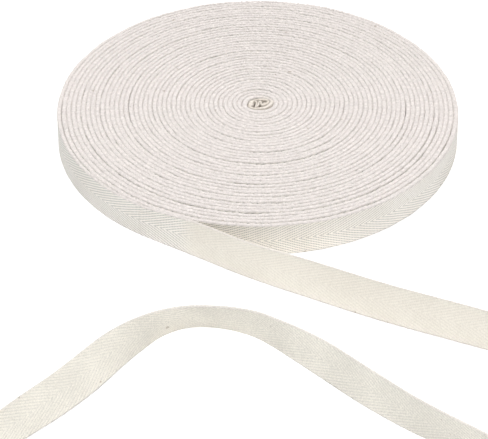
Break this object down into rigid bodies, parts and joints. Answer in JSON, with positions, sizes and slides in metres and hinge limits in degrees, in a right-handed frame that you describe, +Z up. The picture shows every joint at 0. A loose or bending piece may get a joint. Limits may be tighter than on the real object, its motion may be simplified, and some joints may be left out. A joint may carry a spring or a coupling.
{
  "type": "roll of twill tape",
  "caption": "Flat roll of cream herringbone cotton tape on its side, its loose end standing on edge over the surface in a wide bend and back.",
  "frame": {"origin": "on the surface that the roll lies on, under the middle of the roll", "axes": "+Z up along the roll's axis, -Y towards the side where the loose end runs across the front"},
  "size_m": [0.1995, 0.2584, 0.0127],
  "materials": {
    "roll_cotton": "undyed cotton tape edges, matt, with dark gaps between the turns",
    "loose_cotton": "undyed cotton, herringbone twill weave with one reversal along the middle, matt"
  },
  "bodies": {
    "root": {"roll": "roll_cotton", "loose_end": "loose_cotton"}
  },
  "joints": []
}
